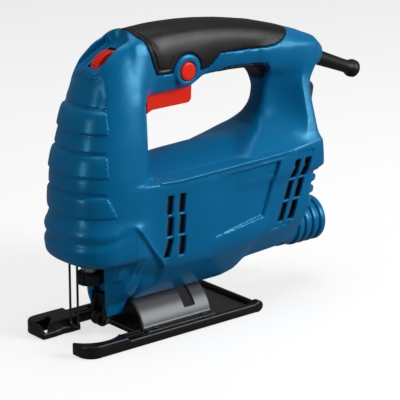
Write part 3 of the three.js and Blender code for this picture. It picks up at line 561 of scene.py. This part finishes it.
def softened(obj, width, segments=3, angle=30):
    """Rounds a piece's hard edges."""
    weld = obj.modifiers.new("weld", "WELD")
    weld.merge_threshold = 0.00001
    bevel = obj.modifiers.new("edges", "BEVEL")
    bevel.width = width * MM
    bevel.segments = segments
    bevel.limit_method = "ANGLE"
    bevel.angle_limit = math.radians(angle)
    return obj


rib = [(104, 12.6), (104, 14.4), (110, 14.4)]
for n in range(4):
    at = 113.4 + n * 6.6
    rib += [(at, 14.2), (at + 1.1, 15.5), (at + 2.0, 15.7), (at + 4.1, 15.7), (at + 4.9, 15.4),
        (at + 5.5, 14.2)]
rib += [(139.0, 14.2), (139.4, 13.9), (139.4, 12.9), (139.0, 12.6)]
pieces["dust_spigot"] = turned("dust_spigot", rib, (0, 0, PORT_Z), (1, 0, 0), 72, closed=True)

boot_from, boot_to = Vector((128, 0, 159.4)), Vector((177.7, 0, 140.5))
length = (boot_to - boot_from).length
boot_profile = [(-6, 3.4), (-6, 5.2), (6, 5.35), (14, 5.25), (26, 4.85), (38, 4.55), (44, 4.5), (46.2, 4.9),
    (47.4, 5.8),
                (48.6, 6.15), (length - 3.2, 6.15), (length - 1.2, 5.9), (length - 0.1, 4.9), (length, 4.1),
                (length - 0.6, 3.6),
                (length - 9, 3.4)]
pieces["cord_sleeve"] = turned("cord_sleeve", boot_profile, boot_from, boot_to - boot_from, 40, closed=True)

key_points = [(119.5, 6, 136.3), (139.0, 6, 136.3), (142.4, 6, 133.2), (138.4, 6, 112), (135, 6, 100)]
pieces["hex_wrench"] = bent("hex_wrench", rounded_path(key_points, 3.2), 1.9, 6)
guard_points = [(-64, -4, 62), (-64, -4, 9.3), (-64, 4, 9.3), (-64, 4, 62)]
pieces["guard_wire"] = bent("guard_wire", rounded_path(guard_points, 4.0, 10), 0.75, 14)

roller_profile = [(-4, 1.8), (-4, 4.5), (-3.6, 5), (-1.7, 5), (-1.3, 4.6), (-1.0, 3.7), (1.0, 3.7),
    (1.3, 4.6), (1.7, 5),
                  (3.6, 5), (4, 4.5), (4, 1.8)]
pieces["roller_wheel"] = turned("roller_wheel", roller_profile, (-43.6, 0, 10.5), (0, 1, 0), 48, closed=True)


def knurl(along, angle):
    grip_zone = step(abs(along), 3.6, 2.6)
    return -0.45 * grip_zone * (0.5 - 0.5 * math.cos(angle * 40))


wheel_profile = [(-4, 2.8), (-4, 11.6), (-3.6, 12.5), (-3.0, 12.9), (-1.5, 13), (0, 13), (1.5, 13),
    (3.0, 12.9), (3.6, 12.5),
                 (4, 11.6), (4, 2.8)]
pieces["speed_dial_wheel"] = turned("speed_dial_wheel", wheel_profile, (WHEEL_X, 0, WHEEL_Z), (0, 1, 0), 240,
    closed=True, ripple=knurl)

button_profile = [(-11.1, 0.5), (-11.1, 6.8), (-12.0, 6.8), (-12.0, 6.0), (-17.2, 6.0), (-18.0, 5.75),
    (-18.4, 5.2),
                  (-18.55, 4.0), (-18.45, 2.2), (-18.35, 0.5)]
pieces["lock_cap"] = turned("lock_cap", button_profile, (LOCK_X, 0, LOCK_Z), (0, 1, 0), 56)

STANDS_FOR = {
    "housing_left_shell": ("housing_left", "housing", "housing_plastic"),
    "housing_right_shell": ("housing_right", "housing", "housing_plastic"),
    "grip_left_cover": ("grip_left", "housing", "grip_rubber"),
    "grip_right_cover": ("grip_right", "housing", "grip_rubber"),
    "under_grip_pad": ("under_grip", "housing", "grip_rubber"),
    "sole_moulding": ("sole_shoe", "sole", "black_plastic"),
    "saddle_arch": ("saddle", "sole", "sheet_steel"),
    "dust_spigot": ("dust_port", "housing", "housing_plastic"),
    "cord_sleeve": ("cord_boot", "housing", "grip_rubber"),
    "hex_wrench": ("hex_key", "hex_key", "fastener_steel"),
    "guard_wire": ("chip_guard", "housing", "dark_steel"),
    "roller_wheel": ("guide_roller", "roller", "dark_steel"),
    "speed_dial_wheel": ("speed_wheel", "speed_wheel", "red_plastic"),
    "lock_cap": ("lock_button", "lock_button", "red_plastic"),
}


# ---- materials ----

class Shader:
    def __init__(self, name, roughness, metallic=0.0, specular=0.5, tint=(1, 1, 1)):
        self.material = bpy.data.materials.new(name)
        self.material.use_nodes = True
        self.nodes, self.links = self.material.node_tree.nodes, self.material.node_tree.links
        self.surface = self.nodes["Principled BSDF"]
        values = {"Roughness": roughness, "Metallic": metallic,
                  "Specular IOR Level": specular, "Specular Tint": (*tint, 1)}
        for socket, value in values.items():
            self.surface.inputs[socket].default_value = value
        self.place = self.nodes.new("ShaderNodeTexCoord").outputs["Object"]

    def noise(self, scale, detail=4.0, stretch=None):
        node = self.nodes.new("ShaderNodeTexNoise")
        node.inputs["Scale"].default_value = scale
        node.inputs["Detail"].default_value = detail
        source = self.place
        if stretch:
            mapping = self.nodes.new("ShaderNodeMapping")
            mapping.inputs["Scale"].default_value = stretch
            self.links.new(source, mapping.inputs["Vector"])
            source = mapping.outputs["Vector"]
        self.links.new(source, node.inputs["Vector"])
        return node.outputs["Fac"]

    def ramp(self, value, low, high, start=0.3, end=0.7):
        node = self.nodes.new("ShaderNodeValToRGB")
        node.color_ramp.elements[0].position, node.color_ramp.elements[1].position = start, end
        node.color_ramp.elements[0].color = (*low, 1)
        node.color_ramp.elements[1].color = (*high, 1)
        self.links.new(value, node.inputs["Fac"])
        return node.outputs["Color"]

    def colour(self, value, low, high, start=0.3, end=0.7):
        self.links.new(self.ramp(value, low, high, start, end), self.surface.inputs["Base Color"])

    def rough(self, value, low, high):
        node = self.nodes.new("ShaderNodeMapRange")
        node.inputs["To Min"].default_value = low
        node.inputs["To Max"].default_value = high
        self.links.new(value, node.inputs["Value"])
        self.links.new(node.outputs["Result"], self.surface.inputs["Roughness"])

    def bump(self, *layers):
        normal = None
        for value, strength, distance in layers:
            node = self.nodes.new("ShaderNodeBump")
            node.inputs["Strength"].default_value = strength
            node.inputs["Distance"].default_value = distance * MM
            self.links.new(value, node.inputs["Height"])
            if normal:
                self.links.new(normal, node.inputs["Normal"])
            normal = node.outputs["Normal"]
        self.links.new(normal, self.surface.inputs["Normal"])


def moulded(name, low, high, rough, grain=3200, strength=0.10, **more):
    s = Shader(name, rough, **more)
    wide, fine = s.noise(28, 3), s.noise(grain, 2)
    s.colour(wide, low, high)
    s.rough(s.noise(160, 4), rough - 0.05, rough + 0.07)
    s.bump((fine, strength, 0.05))
    return s.material


def metal(name, low, high, rough, stretch=(1, 1, 1), metallic=1.0):
    s = Shader(name, rough, metallic)
    lines = s.noise(900, 3, stretch)
    s.colour(lines, low, high)
    s.rough(lines, rough - 0.08, rough + 0.10)
    s.bump((lines, 0.08, 0.03), (s.noise(60, 3), 0.04, 0.1))
    return s.material


FINISHES = {
    "housing_plastic": moulded("blue_moulding", (0.0010, 0.124, 0.300), (0.0016, 0.140, 0.330), 0.31,
        specular=0.6, tint=(0.16, 0.68, 1.0)),
    "grip_rubber": moulded("soft_grip", (0.0055, 0.0057, 0.0062), (0.008, 0.0082, 0.009), 0.42, 2400, 0.16,
        specular=0.3),
    "black_plastic": moulded("black_nylon", (0.0045, 0.0045, 0.005), (0.008, 0.008, 0.0085), 0.34, 2800, 0.14,
        specular=0.3),
    "red_plastic": moulded("red_moulding", (0.86, 0.022, 0.010), (0.92, 0.030, 0.013), 0.34, 3000, 0.06,
        specular=0.3, tint=(1.0, 0.45, 0.35)),
    "beige_plastic": moulded("potting", (0.5, 0.44, 0.33), (0.6, 0.53, 0.42), 0.5),
    "sheet_steel": metal("coated_sheet", (0.035, 0.037, 0.040), (0.055, 0.058, 0.061), 0.36, (1, 1, 1), 0.5),
    "fastener_steel": metal("zinc_plate", (0.20, 0.205, 0.21), (0.30, 0.305, 0.31), 0.30),
    "bright_steel": metal("ground_steel", (0.34, 0.34, 0.35), (0.46, 0.46, 0.47), 0.24, (3, 3, 0.3)),
    "dark_steel": metal("blackened_steel", (0.020, 0.020, 0.022), (0.040, 0.040, 0.043), 0.34, (1, 1, 1),
        0.6),
    "lamination_steel": metal("laminations", (0.20, 0.20, 0.21), (0.34, 0.34, 0.35), 0.4, (12, 0.3, 0.3)),
    "cast_metal": metal("die_cast", (0.42, 0.42, 0.43), (0.55, 0.55, 0.56), 0.46),
    "bronze": metal("copper_bronze", (0.48, 0.24, 0.11), (0.62, 0.33, 0.16), 0.36),
    "carbon": moulded("pressed_carbon", (0.012, 0.012, 0.013), (0.03, 0.03, 0.032), 0.6),
}
SLOTS = {row["node"]: row["material_slot"] for row in frame["record"]["subparts"]}

for name, (node, body, slot) in STANDS_FOR.items():
    piece = pieces[name]
    piece.data.materials.clear()
    piece.data.materials.append(FINISHES[slot])
    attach(piece, body)
    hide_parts(node)

# The dark sheet behind the vents is painted shade, given the near-black carbon finish.
shade_sheet = pieces["vent_shade_lining"]
shade_sheet.data.materials.append(FINISHES["carbon"])
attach(shade_sheet, "housing")

REPLACED = {node for node, _, _ in STANDS_FOR.values()}
EDGE = {"trigger": 1.3, "sole_plate": 0.3, "roller_fork": 0.7, "blade_clamp": 0.6, "clamp_collar": 0.5}
for node, obj in frame["nodes"].items():
    obj.data.materials.clear()
    obj.data.materials.append(FINISHES[SLOTS[node]])
    if node not in REPLACED and node in EDGE:
        softened(obj, EDGE[node])


# ---- floor, light and camera ----

def plane(name, size, height):
    mesh = bpy.data.meshes.new(name)
    mesh.from_pydata([(-size, -size, height), (size, -size, height), (size, size, height),
        (-size, size, height)], [], [(0, 1, 2, 3)])
    made = bpy.data.objects.new(name, mesh)
    bpy.context.scene.collection.objects.link(made)
    return made


FLOOR_LEVEL, FLOOR_GLOW = -0.0002, 0.68
SKY_LIGHT, SKY_SEEN = 0.15, 0.92  # sky strength for lighting the object, and as the camera sees it

floor = plane("floor", 30, FLOOR_LEVEL)
paper = bpy.data.materials.new("paper")
paper.use_nodes = True
paper_look = {
    "Base Color": (0.34, 0.34, 0.343, 1), "Roughness": 0.9, "Specular IOR Level": 0.1,
    "Emission Color": (1, 1, 1, 1), "Emission Strength": FLOOR_GLOW,
}
for socket, value in paper_look.items():
    paper.node_tree.nodes["Principled BSDF"].inputs[socket].default_value = value
floor.data.materials.append(paper)
floor.visible_diffuse = False
floor.visible_glossy = False


def softbox(name, location, target, width, height, power):
    light = bpy.data.lights.new(name, "AREA")
    light.shape = "RECTANGLE"
    light.size, light.size_y = width, height
    light.energy = power
    made = bpy.data.objects.new(name, light)
    bpy.context.scene.collection.objects.link(made)
    made.location = location
    made.rotation_mode = "QUATERNION"
    made.rotation_quaternion = (Vector(target) - Vector(location)).to_track_quat("-Z", "Y")
    return made


world = bpy.data.worlds.new("studio")
world.use_nodes = True
sky = world.node_tree.nodes["Background"]
sky.inputs["Color"].default_value = (1, 1, 1, 1)
seen = world.node_tree.nodes.new("ShaderNodeLightPath").outputs["Is Camera Ray"]
level = world.node_tree.nodes.new("ShaderNodeMapRange")
level.inputs["To Min"].default_value = SKY_LIGHT
level.inputs["To Max"].default_value = SKY_SEEN
world.node_tree.links.new(seen, level.inputs["Value"])
world.node_tree.links.new(level.outputs["Result"], sky.inputs["Strength"])
bpy.context.scene.world = world
MIDDLE = (0.03, 0.0, 0.09)
softbox("overhead", (0.15, 0.05, 1.4), MIDDLE, 0.9, 0.9, 8)
softbox("key_box", (0.85, -1.1, 0.70), MIDDLE, 0.5, 0.8, 20)
softbox("nose_strip", (-1.25, -0.06, 0.26), MIDDLE, 0.14, 0.6, 3.6)

camera = bpy.data.cameras.new("view")
camera.lens, camera.sensor_width = 171.0, 36.0
viewer = bpy.data.objects.new("view", camera)
bpy.context.scene.collection.objects.link(viewer)
AZIMUTH, ELEVATION, DISTANCE = math.radians(-39.59), math.radians(16.94), 1.247
TARGET = Vector((0.0391, 0.0, 0.0729))
back = Vector((math.sin(AZIMUTH) * math.cos(ELEVATION), -math.cos(AZIMUTH) * math.cos(ELEVATION),
    math.sin(ELEVATION)))
viewer.location = TARGET + back * DISTANCE
viewer.rotation_mode = "QUATERNION"
viewer.rotation_quaternion = (-back).to_track_quat("-Z", "Y")
bpy.context.scene.camera = viewer
bpy.context.scene.view_settings.view_transform = "Standard"
